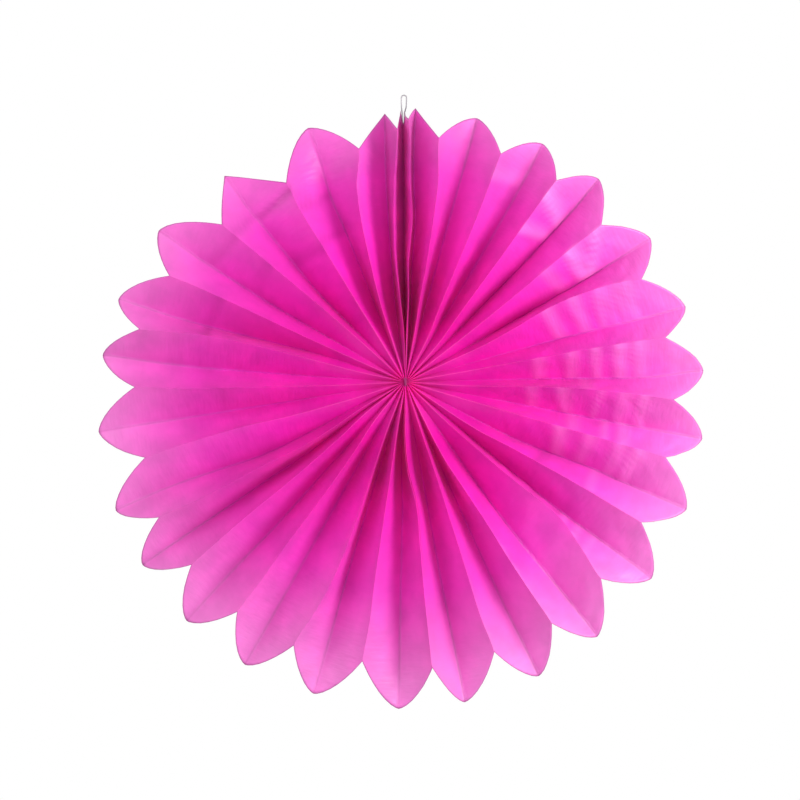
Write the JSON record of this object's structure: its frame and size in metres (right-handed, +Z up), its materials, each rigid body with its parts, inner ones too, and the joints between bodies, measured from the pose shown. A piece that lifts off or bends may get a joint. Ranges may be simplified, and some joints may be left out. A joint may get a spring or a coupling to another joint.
{
  "type": "hanging paper fan",
  "caption": "Round pleated tissue-paper fan with scalloped petals, tied at its hub and hung from a doubled thread.",
  "frame": {"origin": "inside of the hanging loop's bight, where a hook bears", "axes": "+Z up along the hanging thread, -Y out of the fan's face, +X to the right of someone who looks at the face"},
  "size_m": [0.3039, 0.0257, 0.3091],
  "materials": {
    "tissue": "soft matte, slightly translucent",
    "dyed_thread": "matte twisted cotton",
    "white_thread": "matte twisted cotton"
  },
  "bodies": {
    "root": {"pleated_paper": "tissue", "binding_thread": "dyed_thread", "hanging_loop": "white_thread"}
  },
  "joints": []
}
